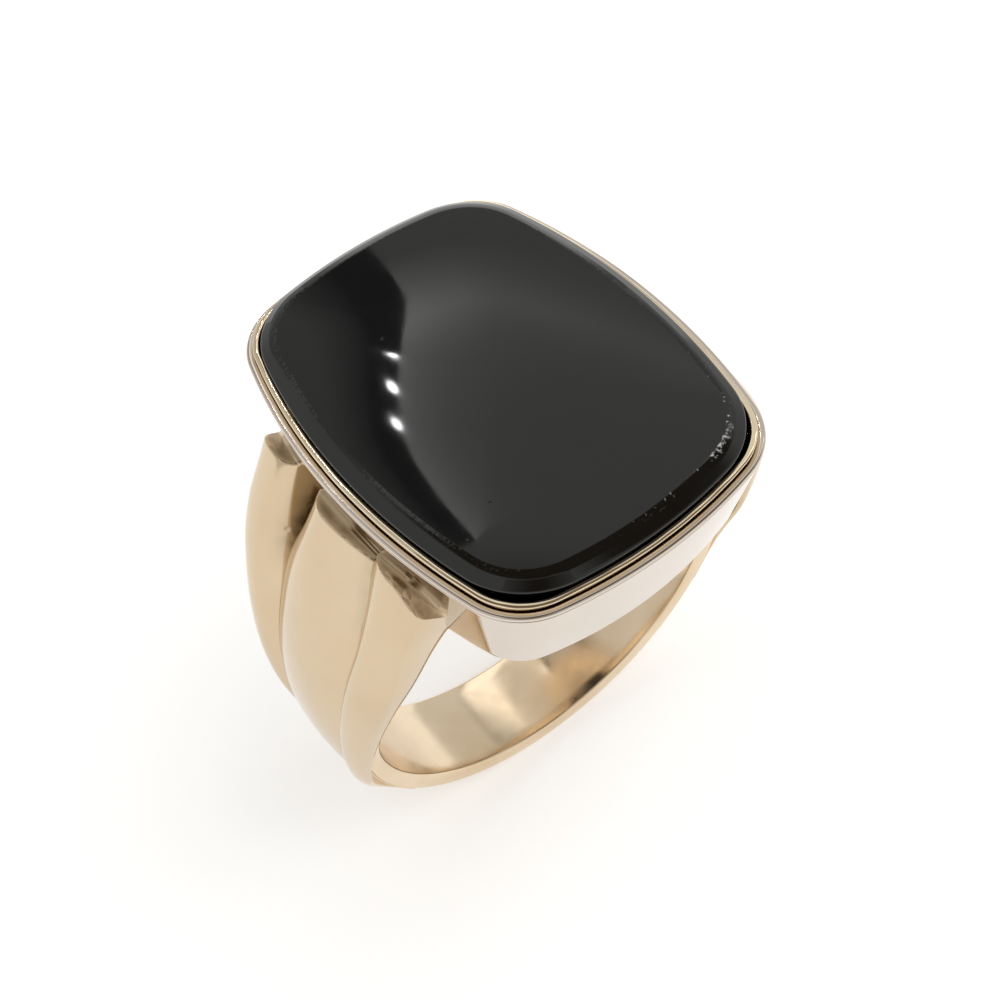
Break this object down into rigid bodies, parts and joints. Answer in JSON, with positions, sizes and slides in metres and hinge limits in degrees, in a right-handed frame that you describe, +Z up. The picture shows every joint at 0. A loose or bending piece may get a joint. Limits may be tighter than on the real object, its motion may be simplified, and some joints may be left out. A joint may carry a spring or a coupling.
{
  "type": "signet ring",
  "caption": "Gold-coloured signet ring with a tall cushion-shaped head, a domed black stone and fluted shoulders that taper into a narrow band.",
  "frame": {"origin": "centre of the finger hole, halfway along the finger", "axes": "+Y along the finger, +Z up through the middle of the stone, +X across the shoulders to the right shoulder"},
  "size_m": [0.0224, 0.0188, 0.0254],
  "materials": {
    "gold": "polished pale rose gold",
    "black_stone": "polished black onyx"
  },
  "bodies": {
    "root": {"onyx_stone": "black_stone", "bezel_wall": "gold", "bezel_lip": "gold", "stone_seat": "gold", "base_plate": "gold", "finger_band": "gold", "left_rib_front": "gold", "left_rib_middle": "gold", "left_rib_back": "gold", "right_rib_front": "gold", "right_rib_middle": "gold", "right_rib_back": "gold"}
  },
  "joints": []
}
